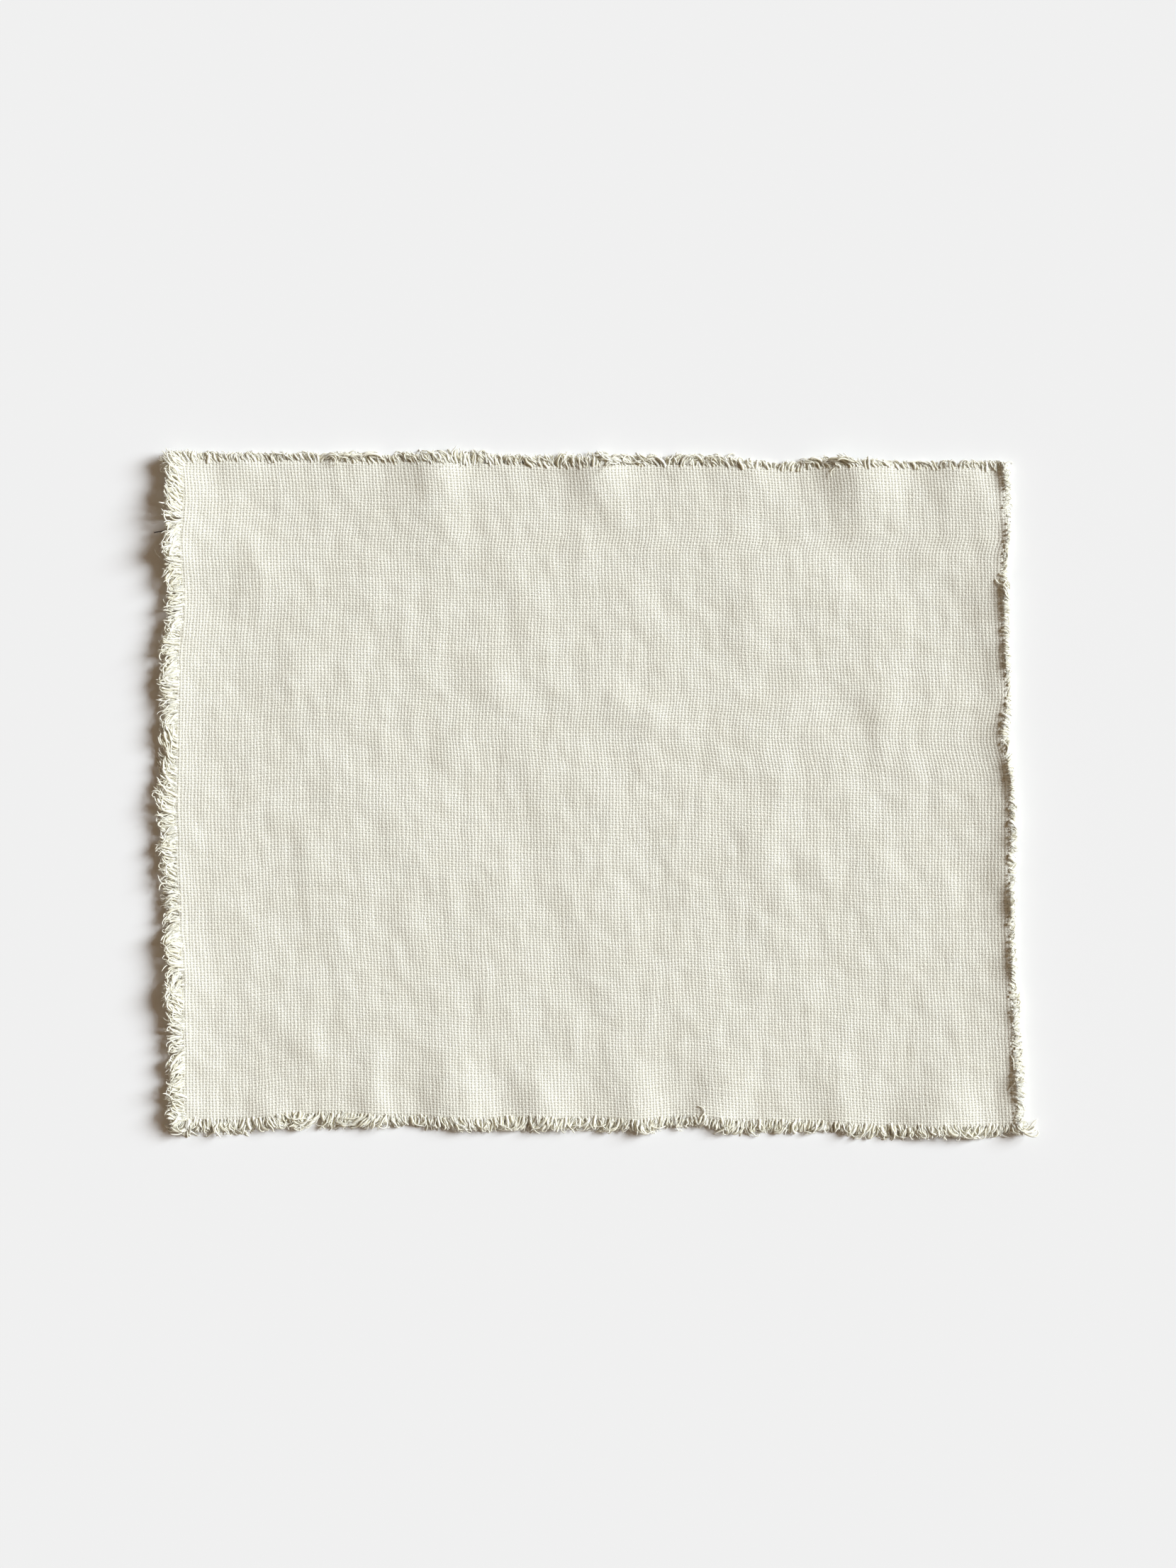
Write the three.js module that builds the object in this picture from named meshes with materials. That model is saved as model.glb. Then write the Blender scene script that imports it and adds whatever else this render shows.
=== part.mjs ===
import * as THREE from 'three';

// A fringed placemat: one rectangle of coarse plain-woven cloth, frayed on all four sides and lying on a
// table. Millimetres, +X to the right, +Y to the back, +Z up, with the table at Z = 0.

// Driving dimensions
const CLOTH_THICKNESS = 1.6;
const COLUMNS = 56;
const FRINGE_GAP = 0.3;
const STRIP_WIDTH = 1.2;
const LOCK_PITCH = 7.6;
const LOCK_MIDDLE = { along: 0.5, width: 0.66, thickness: 1.2 };
const LOCK_TIP = { along: 1, width: 0.36, thickness: 0.7 };
const LOCK_LENGTH_SPREAD = 0.14;
const LOCK_WAVE_LEAN = 0.2;
const LOCK_WAVE_TURN = 0.55;
const LOCK_RANDOM_LEAN = 0.12;
const CORNER_LEAN = 0.8;

// Rows of cloth cells from the front edge to the back edge, as shares of the cloth's depth. They lie closer
// together near both edges, where the ripples are.
const ROW_SHARES = [
  0, 0.015, 0.035, 0.055, 0.08, 0.11, 0.145, 0.19, 0.24, 0.29, 0.34, 0.39,
  0.44, 0.49, 0.54, 0.59, 0.64, 0.69, 0.74, 0.79, 0.84, 0.88, 0.92, 0.95, 0.98, 1,
];

const linen = { color: 0xe0ddd0, roughness: 0.95, metalness: 0 };

function rows(names, values) {
  return values.map((row) => Object.fromEntries(names.map((name, index) => [name, row[index]])));
}

// The two long edges. at: X along the edge. edge: Y of the woven edge. reach: length of the fringe there.
const BACK_EDGE = rows(['at', 'edge', 'reach'], [
  [-217.0, 177.0, 4.5],
  [-150.0, 176.8, 4.0],
  [-102.0, 175.9, 4.5],
  [-60.0, 175.0, 8.0],
  [-38.0, 174.4, 5.2],
  [-7.0, 173.3, 6.8],
  [13.0, 174.0, 7.4],
  [37.0, 174.4, 5.3],
  [65.0, 174.0, 5.6],
  [100.0, 172.5, 3.4],
  [138.0, 173.6, 5.2],
  [165.0, 173.5, 2.6],
  [184.0, 173.2, 3.2],
  [218.2, 172.1, 4.4],
]);

const FRONT_EDGE = rows(['at', 'edge', 'reach'], [
  [-215.3, -172.5, 8.5],
  [-185.0, -172.5, 7.8],
  [-159.0, -169.9, 6.6],
  [-136.0, -169.1, 8.4],
  [-102.0, -170.6, 6.2],
  [-57.0, -172.5, 6.4],
  [-35.0, -171.4, 7.4],
  [-20.0, -171.8, 8.0],
  [0.0, -171.9, 5.6],
  [25.0, -172.9, 7.2],
  [53.0, -171.3, 5.0],
  [81.0, -173.3, 6.8],
  [115.0, -173.8, 5.4],
  [164.0, -176.3, 6.6],
  [190.0, -176.3, 6.4],
  [226.1, -175.5, 5.2],
]);

// The two short edges, which curl up. at: Y along the edge. edge: X of the woven edge. lift: height of its
// underside above the table. curl: width of the cloth that rises to it. reach: length of the fringe.
const LEFT_EDGE = rows(['at', 'edge', 'lift', 'curl', 'reach'], [
  [-172.5, -215.3, 2.0, 34, 9.2],
  [-145.0, -215.6, 1.6, 32, 8.6],
  [-122.0, -215.7, 2.0, 32, 8.2],
  [-105.0, -216.0, 2.8, 36, 9.8],
  [-67.0, -217.9, 1.9, 34, 8.0],
  [-30.0, -219.4, 1.6, 32, 9.6],
  [-8.0, -220.1, 1.5, 32, 10.2],
  [30.0, -219.4, 1.7, 32, 7.8],
  [68.0, -218.6, 2.0, 34, 9.6],
  [105.0, -216.4, 1.9, 36, 7.6],
  [132.0, -217.5, 4.2, 46, 9.2],
  [157.0, -215.6, 3.4, 44, 10.2],
  [177.0, -217.0, 2.4, 38, 9.0],
]);

const RIGHT_EDGE = rows(['at', 'edge', 'lift', 'curl', 'reach'], [
  [-175.5, 226.1, 1.6, 24, 4.0],
  [-146.0, 224.6, 2.2, 24, 5.6],
  [-120.0, 223.5, 2.0, 24, 5.2],
  [-98.0, 222.4, 2.3, 24, 3.0],
  [-70.0, 221.9, 1.9, 24, 3.2],
  [-45.0, 221.6, 2.5, 26, 3.2],
  [-20.0, 222.0, 2.7, 26, 3.8],
  [4.0, 222.0, 2.5, 26, 2.6],
  [30.0, 217.6, 2.5, 24, 4.6],
  [53.0, 220.4, 1.5, 22, 2.8],
  [75.0, 219.0, 2.2, 24, 3.4],
  [101.0, 218.2, 2.9, 26, 3.6],
  [124.0, 218.0, 2.1, 24, 3.4],
  [137.0, 220.4, 1.2, 20, 2.0],
  [157.0, 219.4, 1.5, 20, 3.4],
  [172.1, 218.2, 1.3, 20, 3.6],
]);

// Ripples that start at an edge at (x, y) and die out at (toX, toY). half: half width. height: at the edge.
const EDGE_RIPPLES = rows(['x', 'y', 'toX', 'toY', 'half', 'height'], [
  [-187.0, 177.0, -187.0, 146.0, 18, 1.2],
  [-85.3, 175.5, -81.6, 130.0, 27, 2.2],
  [-79.0, 175.5, -79.0, 55.0, 16, 0.7],
  [2.0, 173.5, 5.5, 140.0, 23, 2.7],
  [81.7, 173.0, 90.7, 128.0, 22, 1.0],
  [142.5, 173.6, 140.8, 129.5, 29, 3.8],
  [195.0, 172.5, 215.0, 117.0, 24, 2.0],
  [-168.9, -172.5, -179.6, -144.7, 15, 0.8],
  [-114.3, -170.6, -119.9, -129.6, 15, 1.7],
  [-70.0, -171.8, -80.7, -117.0, 25, 2.4],
  [-24.2, -171.4, -31.1, -126.0, 20, 1.9],
  [23.9, -172.9, 12.1, -122.7, 21, 2.0],
  [63.7, -172.9, 80.7, -124.0, 21, 1.8],
  [134.0, -174.8, 124.6, -117.5, 22, 0.9],
  [186.3, -176.3, 204.0, -112.0, 29, 2.5],
]);

// Low wrinkles inside the cloth, highest halfway between (x, y) and (toX, toY).
const INNER_WRINKLES = rows(['x', 'y', 'toX', 'toY', 'half', 'height'], [
  [-177.0, 141.0, -178.5, 91.0, 15, 0.7],
  [-154.8, 97.0, -151.2, 42.0, 18, 0.9],
  [-150.4, 15.4, -95.8, -12.8, 17, 0.8],
  [-172.2, -108.0, -135.0, -152.0, 13, 0.6],
  [-69.0, 75.3, -36.6, 41.5, 20, 0.8],
  [-26.7, 49.4, 30.6, 43.2, 21, 1.0],
  [1.7, 54.7, 57.5, 29.5, 14, 0.8],
  [-41.0, 23.5, -11.6, -5.0, 16, 0.6],
  [-2.0, 4.8, 24.4, -21.0, 14, 0.6],
  [91.7, 136.0, 77.3, 56.4, 20, 0.8],
  [84.8, 4.0, 98.0, -57.4, 20, 0.9],
  [106.5, -29.3, 139.2, -54.2, 14, 0.7],
  [112.5, 114.7, 149.4, 96.0, 13, 0.7],
  [150.3, 123.0, 158.0, 64.4, 20, 0.7],
  [152.4, 76.0, 157.3, 9.3, 18, 0.8],
]);

const { clamp, lerp, smoothstep } = THREE.MathUtils;

// A table's column at a place along its edge, eased from one row to the next.
function along(table, column, at) {
  const next = table.findIndex((row) => row.at >= at);
  if (next === 0) return table[0][column];
  if (next < 0) return table[table.length - 1][column];
  const before = table[next - 1];
  const after = table[next];
  return lerp(before[column], after[column], smoothstep(at, before.at, after.at));
}

const CORNERS = {
  leftFront: [FRONT_EDGE[0].at, FRONT_EDGE[0].edge],
  rightFront: [FRONT_EDGE.at(-1).at, FRONT_EDGE.at(-1).edge],
  leftBack: [BACK_EDGE[0].at, BACK_EDGE[0].edge],
  rightBack: [BACK_EDGE.at(-1).at, BACK_EDGE.at(-1).edge],
};

// The cloth's plan: the patch between its four uneven edges, with u to the right and v to the back.
function planPoint(u, v) {
  const { leftFront, rightFront, leftBack, rightBack } = CORNERS;
  const frontX = lerp(leftFront[0], rightFront[0], u);
  const backX = lerp(leftBack[0], rightBack[0], u);
  const leftY = lerp(leftFront[1], leftBack[1], v);
  const rightY = lerp(rightFront[1], rightBack[1], v);
  const front = [frontX, along(FRONT_EDGE, 'edge', frontX)];
  const back = [backX, along(BACK_EDGE, 'edge', backX)];
  const left = [along(LEFT_EDGE, 'edge', leftY), leftY];
  const right = [along(RIGHT_EDGE, 'edge', rightY), rightY];
  return [0, 1].map((axis) => {
    const across = lerp(left[axis], right[axis], u);
    const deep = lerp(front[axis], back[axis], v);
    const frontFlat = lerp(leftFront[axis], rightFront[axis], u);
    const backFlat = lerp(leftBack[axis], rightBack[axis], u);
    return across + deep - lerp(frontFlat, backFlat, v);
  });
}

function curlHeight(table, inward, y) {
  const share = clamp(inward / along(table, 'curl', y), 0, 1);
  return along(table, 'lift', y) * (1 - share) ** 2;
}

// A rounded ridge along a line. strength gives its height along the line, as a share of the whole.
function ridgeHeight(ridge, x, y, strength) {
  const runX = ridge.toX - ridge.x;
  const runY = ridge.toY - ridge.y;
  const length = Math.hypot(runX, runY);
  const share = ((x - ridge.x) * runX + (y - ridge.y) * runY) / length ** 2;
  const aside = Math.abs((x - ridge.x) * runY - (y - ridge.y) * runX) / length;
  if (aside >= ridge.half) return 0;
  const section = 0.5 + 0.5 * Math.cos(Math.PI * aside / ridge.half);
  return ridge.height * section * strength(clamp(share, 0, 1));
}

const fadingInward = (share) => 1 - smoothstep(share, 0, 1);
const highestHalfway = (share) => Math.sin(Math.PI * share) ** 2;

// Height of the cloth's underside above the table.
function undersideHeight(x, y) {
  let height = curlHeight(LEFT_EDGE, x - along(LEFT_EDGE, 'edge', y), y);
  height += curlHeight(RIGHT_EDGE, along(RIGHT_EDGE, 'edge', y) - x, y);
  for (const ripple of EDGE_RIPPLES) height += ridgeHeight(ripple, x, y, fadingInward);
  for (const wrinkle of INNER_WRINKLES) height += ridgeHeight(wrinkle, x, y, highestHalfway);
  return height;
}

// Collects shared points and four-sided faces, listed anticlockwise from outside, into one closed body.
class Body {
  constructor() {
    this.positions = [];
    this.faces = [];
  }

  point(x, y, z) {
    this.positions.push(x, y, z);
    return this.positions.length / 3 - 1;
  }

  quad(a, b, c, d) {
    this.faces.push(a, b, c, a, c, d);
  }

  mesh(name) {
    const geometry = new THREE.BufferGeometry();
    geometry.setAttribute('position', new THREE.Float32BufferAttribute(this.positions, 3));
    geometry.setIndex(this.faces);
    geometry.computeVertexNormals();
    const mesh = new THREE.Mesh(geometry, new THREE.MeshStandardMaterial(linen));
    mesh.name = name;
    return mesh;
  }
}

// The cloth's grid points on its underside, row by row from the front.
const grid = ROW_SHARES.map((v) => Array.from({ length: COLUMNS + 1 }, (_, column) => {
  const [x, y] = planPoint(column / COLUMNS, v);
  return new THREE.Vector3(x, y, undersideHeight(x, y));
}));

function makeCloth() {
  const body = new Body();
  const under = grid.map((row) => row.map((p) => body.point(p.x, p.y, p.z)));
  const over = grid.map((row) => row.map((p) => body.point(p.x, p.y, p.z + CLOTH_THICKNESS)));
  const last = grid.length - 1;
  for (let j = 0; j < last; j++) {
    for (let i = 0; i < COLUMNS; i++) {
      body.quad(over[j][i], over[j][i + 1], over[j + 1][i + 1], over[j + 1][i]);
      body.quad(under[j][i], under[j + 1][i], under[j + 1][i + 1], under[j][i + 1]);
    }
    body.quad(under[j][0], over[j][0], over[j + 1][0], under[j + 1][0]);
    body.quad(under[j][COLUMNS], under[j + 1][COLUMNS], over[j + 1][COLUMNS], over[j][COLUMNS]);
  }
  for (let i = 0; i < COLUMNS; i++) {
    body.quad(under[0][i], under[0][i + 1], over[0][i + 1], over[0][i]);
    body.quad(under[last][i], over[last][i], over[last][i + 1], under[last][i + 1]);
  }
  return body.mesh('cloth');
}

// An edge line cut into stretches about one lock wide, without leaving the cloth's own straight segments.
function lockStations(edgeLine) {
  const stations = [edgeLine[0]];
  for (let i = 1; i < edgeLine.length; i++) {
    const steps = Math.max(1, Math.round(edgeLine[i].distanceTo(edgeLine[i - 1]) / LOCK_PITCH));
    for (let step = 1; step <= steps; step++) {
      stations.push(edgeLine[i - 1].clone().lerp(edgeLine[i], step / steps));
    }
  }
  return stations;
}

// An even spread of numbers from -1 to 1, the same on each run.
function spread(index, seed) {
  const turns = Math.sin(index * 12.9898 + seed * 78.233) * 43758.5453;
  return 2 * (turns - Math.floor(turns)) - 1;
}

// One lock: a tapered tuft that grows out of four shared points on its strip's outer face.
function addLock(body, rootSection, root, width, reach, lean, fringe, forward) {
  let section = rootSection;
  for (const { along: share, width: narrow, thickness } of [LOCK_MIDDLE, LOCK_TIP]) {
    const centre = root.clone().addScaledVector(fringe.outward, (reach - STRIP_WIDTH) * share);
    centre.addScaledVector(forward, lean * reach * share);
    const z = Math.max(0, root.z - fringe.tipDrop * share);
    const side = forward.clone().multiplyScalar(width * narrow / 2);
    const start = centre.clone().sub(side);
    const end = centre.clone().add(side);
    const nextSection = [
      body.point(start.x, start.y, z),
      body.point(end.x, end.y, z),
      body.point(end.x, end.y, z + thickness),
      body.point(start.x, start.y, z + thickness),
    ];
    for (let corner = 0; corner < 4; corner++) {
      const turn = (corner + 1) % 4;
      body.quad(section[corner], section[turn], nextSection[turn], nextSection[corner]);
    }
    section = nextSection;
  }
  body.quad(section[0], section[1], section[2], section[3]);
}

// A narrow strip along one edge of the cloth, with a row of locks growing out of its outer face.
function makeFringe(fringe) {
  const { name, edgeLine, outward, table, axis, seed } = fringe;
  const body = new Body();
  const stations = lockStations(edgeLine);
  const count = stations.length - 1;
  const forward = stations[count].clone().sub(stations[0]).setZ(0).normalize();
  const ring = stations.map((station) => {
    const inner = station.clone().addScaledVector(outward, FRINGE_GAP);
    const outer = inner.clone().addScaledVector(outward, STRIP_WIDTH);
    return {
      innerUnder: body.point(inner.x, inner.y, inner.z),
      innerOver: body.point(inner.x, inner.y, inner.z + CLOTH_THICKNESS),
      outerUnder: body.point(outer.x, outer.y, outer.z),
      outerOver: body.point(outer.x, outer.y, outer.z + CLOTH_THICKNESS),
      outer,
    };
  });
  const first = ring[0];
  const last = ring[count];
  body.quad(first.innerUnder, first.outerUnder, first.outerOver, first.innerOver);
  body.quad(last.innerUnder, last.innerOver, last.outerOver, last.outerUnder);
  for (let i = 0; i < count; i++) {
    const here = ring[i];
    const next = ring[i + 1];
    body.quad(here.innerOver, here.outerOver, next.outerOver, next.innerOver);
    body.quad(here.innerUnder, next.innerUnder, next.outerUnder, here.outerUnder);
    body.quad(here.innerUnder, here.innerOver, next.innerOver, next.innerUnder);

    const root = here.outer.clone().lerp(next.outer, 0.5);
    const width = here.outer.distanceTo(next.outer);
    const reach = along(table, 'reach', root[axis]) * (1 + LOCK_LENGTH_SPREAD * spread(i, seed));
    let lean = LOCK_WAVE_LEAN * Math.sin(LOCK_WAVE_TURN * i + seed);
    lean += LOCK_RANDOM_LEAN * spread(i, seed + 0.5);
    if (i === 0) lean = -CORNER_LEAN;
    if (i === count - 1) lean = CORNER_LEAN;
    const rootSection = [here.outerUnder, next.outerUnder, next.outerOver, here.outerOver];
    addLock(body, rootSection, root, width, reach, lean, fringe, forward);
  }
  return body.mesh(name);
}

// The four fringes. edgeLine runs with the cloth on its left. tipDrop is how far a lock's tip drops below its
// root, though never below the table: a negative drop makes the locks stand up.
const FRINGES = [
  {
    name: 'fringe_front',
    edgeLine: grid[0],
    outward: new THREE.Vector3(0, -1, 0),
    table: FRONT_EDGE,
    axis: 'x',
    tipDrop: 1.6,
    seed: 1,
  },
  {
    name: 'fringe_right',
    edgeLine: grid.map((row) => row[COLUMNS]),
    outward: new THREE.Vector3(1, 0, 0),
    table: RIGHT_EDGE,
    axis: 'y',
    tipDrop: -3.4,
    seed: 2,
  },
  {
    name: 'fringe_back',
    edgeLine: [...grid.at(-1)].reverse(),
    outward: new THREE.Vector3(0, 1, 0),
    table: BACK_EDGE,
    axis: 'x',
    tipDrop: 1.6,
    seed: 3,
  },
  {
    name: 'fringe_left',
    edgeLine: grid.map((row) => row[0]).reverse(),
    outward: new THREE.Vector3(-1, 0, 0),
    table: LEFT_EDGE,
    axis: 'y',
    tipDrop: -1.2,
    seed: 4,
  },
];

const placemat = new THREE.Group();
placemat.name = 'placemat';
placemat.add(makeCloth(), ...FRINGES.map(makeFringe));

// The origin is on the table, under the middle of the whole mat with its fringe.
const middle = new THREE.Box3().setFromObject(placemat).getCenter(new THREE.Vector3());
placemat.position.set(-middle.x, -middle.y, 0);
placemat.updateMatrixWorld(true);

export default placemat;
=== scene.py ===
"""A fringed placemat of coarse plain-woven cloth, lying flat on a pale table and seen from straight above.

Lengths are in metres in Blender. The tables are in millimetres, and MM turns them into metres.
"""

import bpy
import numpy as np
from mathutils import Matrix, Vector


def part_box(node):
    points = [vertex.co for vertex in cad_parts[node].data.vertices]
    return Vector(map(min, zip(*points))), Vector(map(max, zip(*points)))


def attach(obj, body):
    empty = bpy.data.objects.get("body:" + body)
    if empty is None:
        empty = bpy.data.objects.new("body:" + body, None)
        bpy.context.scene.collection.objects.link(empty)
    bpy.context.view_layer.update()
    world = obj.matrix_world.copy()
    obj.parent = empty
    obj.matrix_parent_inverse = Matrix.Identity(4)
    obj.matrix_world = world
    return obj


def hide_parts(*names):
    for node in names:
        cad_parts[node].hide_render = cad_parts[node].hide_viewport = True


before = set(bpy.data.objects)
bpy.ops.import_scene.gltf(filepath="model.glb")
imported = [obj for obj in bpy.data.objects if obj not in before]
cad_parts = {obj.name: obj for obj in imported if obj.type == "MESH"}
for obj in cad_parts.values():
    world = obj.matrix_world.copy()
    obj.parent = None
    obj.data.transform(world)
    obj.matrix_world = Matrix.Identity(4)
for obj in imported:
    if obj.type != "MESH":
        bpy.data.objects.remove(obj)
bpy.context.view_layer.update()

MM = 0.001

# Cloth
THICKNESS = 1.6
WARP_THREADS = 254
WEFT_THREADS = 242
KNUCKLE_RELIEF = 0.06
YARN_RELIEF = 0.04
YARN_WANDER = 0.12
WANDER_THREADS = 9
FATNESS_THREADS = 14
EDGE_ROUNDING = 0.5
EDGE_JAGS = 0.4
UNDERSIDE_STEP = 4

# The camera looks straight down. The photo is 1659 x 2212 pixels at 0.375 mm for a pixel on the table.
PIXEL = 0.375
PHOTO_SIZE = (1659, 2212)
MAT_CENTRE_PIXEL = (833, 1120)
LENS = 85.0
SENSOR = 36.0


def table(names, *rows):
    """A short table as one array for each named column."""
    columns = np.array(rows, float).T
    return dict(zip(names.split(), columns, strict=True))


# The two long edges. at: X along the edge. edge: Y of the woven edge. reach: length of the fringe there.
BACK_EDGE = table(
    "at edge reach",
    (-217.0, 177.0, 4.5),
    (-150.0, 176.8, 4.0),
    (-102.0, 175.9, 4.5),
    (-60.0, 175.0, 8.0),
    (-38.0, 174.4, 5.2),
    (-7.0, 173.3, 6.8),
    (13.0, 174.0, 7.4),
    (37.0, 174.4, 5.3),
    (65.0, 174.0, 5.6),
    (100.0, 172.5, 3.4),
    (138.0, 173.6, 5.2),
    (165.0, 173.5, 2.6),
    (184.0, 173.2, 3.2),
    (218.2, 172.1, 4.4),
)

FRONT_EDGE = table(
    "at edge reach",
    (-215.3, -172.5, 8.5),
    (-185.0, -172.5, 7.8),
    (-159.0, -169.9, 6.6),
    (-136.0, -169.1, 8.4),
    (-102.0, -170.6, 6.2),
    (-57.0, -172.5, 6.4),
    (-35.0, -171.4, 7.4),
    (-20.0, -171.8, 8.0),
    (0.0, -171.9, 5.6),
    (25.0, -172.9, 7.2),
    (53.0, -171.3, 5.0),
    (81.0, -173.3, 6.8),
    (115.0, -173.8, 5.4),
    (164.0, -176.3, 6.6),
    (190.0, -176.3, 6.4),
    (226.1, -175.5, 5.2),
)

# The two short edges, which curl up. at: Y along the edge. edge: X of the woven edge. lift: height of its
# underside above the table. curl: width of the cloth that rises to it. reach: length of the fringe.
LEFT_EDGE = table(
    "at edge lift curl reach",
    (-172.5, -215.3, 2.0, 34, 9.2),
    (-145.0, -215.6, 1.6, 32, 8.6),
    (-122.0, -215.7, 2.0, 32, 8.2),
    (-105.0, -216.0, 2.8, 36, 9.8),
    (-67.0, -217.9, 1.9, 34, 8.0),
    (-30.0, -219.4, 1.6, 32, 9.6),
    (-8.0, -220.1, 1.5, 32, 10.2),
    (30.0, -219.4, 1.7, 32, 7.8),
    (68.0, -218.6, 2.0, 34, 9.6),
    (105.0, -216.4, 1.9, 36, 7.6),
    (132.0, -217.5, 4.2, 46, 9.2),
    (157.0, -215.6, 3.4, 44, 10.2),
    (177.0, -217.0, 2.4, 38, 9.0),
)

RIGHT_EDGE = table(
    "at edge lift curl reach",
    (-175.5, 226.1, 1.6, 24, 4.0),
    (-146.0, 224.6, 2.2, 24, 5.6),
    (-120.0, 223.5, 2.0, 24, 5.2),
    (-98.0, 222.4, 2.3, 24, 3.0),
    (-70.0, 221.9, 1.9, 24, 3.2),
    (-45.0, 221.6, 2.5, 26, 3.2),
    (-20.0, 222.0, 2.7, 26, 3.8),
    (4.0, 222.0, 2.5, 26, 2.6),
    (30.0, 217.6, 2.5, 24, 4.6),
    (53.0, 220.4, 1.5, 22, 2.8),
    (75.0, 219.0, 2.2, 24, 3.4),
    (101.0, 218.2, 2.9, 26, 3.6),
    (124.0, 218.0, 2.1, 24, 3.4),
    (137.0, 220.4, 1.2, 20, 2.0),
    (157.0, 219.4, 1.5, 20, 3.4),
    (172.1, 218.2, 1.3, 20, 3.6),
)

# The right edge's last few millimetres turn up more steeply, and unevenly along the edge. RIM_WAVES gives the
# share of each unevenness, its length for one radian, and its phase.
RIM_LIFT = 1.1
RIM_WIDTH = 4.2
RIM_WAVES = ((0.6, 5.1, 0.0), (0.4, 13.3, 1.0))

# Ripples that start at an edge at (x, y) and die out at (to_x, to_y). half: half width. height: at the edge.
EDGE_RIPPLES = table(
    "x y to_x to_y half height",
    (-187.0, 177.0, -187.0, 146.0, 18, 1.2),
    (-85.3, 175.5, -81.6, 130.0, 27, 2.2),
    (-79.0, 175.5, -79.0, 55.0, 16, 0.7),
    (2.0, 173.5, 5.5, 140.0, 23, 2.7),
    (81.7, 173.0, 90.7, 128.0, 22, 1.0),
    (142.5, 173.6, 140.8, 129.5, 29, 3.8),
    (195.0, 172.5, 215.0, 117.0, 24, 2.0),
    (-168.9, -172.5, -179.6, -144.7, 15, 0.8),
    (-114.3, -170.6, -119.9, -129.6, 15, 1.7),
    (-70.0, -171.8, -80.7, -117.0, 25, 2.4),
    (-24.2, -171.4, -31.1, -126.0, 20, 1.9),
    (23.9, -172.9, 12.1, -122.7, 21, 2.0),
    (63.7, -172.9, 80.7, -124.0, 21, 1.8),
    (134.0, -174.8, 124.6, -117.5, 22, 0.9),
    (186.3, -176.3, 204.0, -112.0, 29, 2.5),
)

# Low wrinkles inside the cloth, highest halfway between (x, y) and (to_x, to_y).
INNER_WRINKLES = table(
    "x y to_x to_y half height",
    (-177.0, 141.0, -178.5, 91.0, 15, 0.7),
    (-154.8, 97.0, -151.2, 42.0, 18, 0.9),
    (-150.4, 15.4, -95.8, -12.8, 17, 0.8),
    (-172.2, -108.0, -135.0, -152.0, 13, 0.6),
    (-69.0, 75.3, -36.6, 41.5, 20, 0.8),
    (-26.7, 49.4, 30.6, 43.2, 21, 1.0),
    (1.7, 54.7, 57.5, 29.5, 14, 0.8),
    (-41.0, 23.5, -11.6, -5.0, 16, 0.6),
    (-2.0, 4.8, 24.4, -21.0, 14, 0.6),
    (91.7, 136.0, 77.3, 56.4, 20, 0.8),
    (84.8, 4.0, 98.0, -57.4, 20, 0.9),
    (106.5, -29.3, 139.2, -54.2, 14, 0.7),
    (112.5, 114.7, 149.4, 96.0, 13, 0.7),
    (150.3, 123.0, 158.0, 64.4, 20, 0.7),
    (152.4, 76.0, 157.3, 9.3, 18, 0.8),
)

# Finer wrinkles of the same form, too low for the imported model.
FINE_WRINKLES = table(
    "x y to_x to_y half height",
    (-123.3, 121.5, -111.8, 84.3, 13, 0.5),
    (-144.3, 59.9, -127.4, 26.1, 15, 0.5),
    (-145.8, -44.0, -113.9, -52.6, 10, 0.4),
    (-148.3, -3.5, -147.3, -64.1, 13, 0.4),
    (-109.2, -106.8, -93.5, -122.8, 10, 0.4),
    (-106.3, 1.6, -94.1, -65.6, 11, 0.4),
    (-103.9, -46.5, -82.2, -98.2, 13, 0.5),
    (-84.9, -90.3, -64.6, -129.6, 10, 0.4),
    (-70.9, 42.5, -68.8, 5.8, 10, 0.4),
    (-23.9, -116.1, 6.3, -140.9, 15, 0.5),
    (-10.5, 144.3, 2.0, 116.2, 13, 0.5),
    (3.8, 103.5, 46.2, 79.7, 12, 0.4),
    (13.2, -32.9, 42.8, -50.7, 9, 0.2),
    (40.7, -123.4, 61.2, -154.8, 9, 0.2),
    (53.7, 22.0, 98.7, 4.7, 11, 0.5),
    (88.4, -88.4, 87.9, -122.9, 11, 0.5),
    (92.2, -38.9, 113.0, -72.9, 10, 0.4),
    (148.6, -84.5, 175.9, -102.6, 10, 0.3),
    (164.5, -102.8, 202.7, -120.9, 12, 0.3),
)

# Fine creasing: many faint waves, most with crests from the upper left to the lower right. length: from one
# crest to the next. slope: steepest slope of one wave. waves: how many are about this long.
CREASES = table(
    "length slope waves",
    (8.0, 0.0066, 30),
    (12.0, 0.0058, 24),
    (18.0, 0.0058, 22),
    (27.0, 0.0044, 20),
    (40.0, 0.0036, 18),
    (60.0, 0.0034, 14),
    (90.0, 0.0028, 10),
)
CREASE_TURN = np.radians(24)
CREASE_TURN_SPREAD = np.radians(36)
CREASE_DEEPEST = 2.2


def ease(t):
    t = np.clip(t, 0, 1)
    return t * t * (3 - 2 * t)


def mix(a, b, t):
    return a + (b - a) * t


def along(edge, column, at):
    """A table's column at a place along its edge, eased from one row to the next."""
    stations = edge["at"]
    row = np.clip(np.searchsorted(stations, at) - 1, 0, len(stations) - 2)
    share = (at - stations[row]) / (stations[row + 1] - stations[row])
    return mix(edge[column][row], edge[column][row + 1], ease(share))


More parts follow.
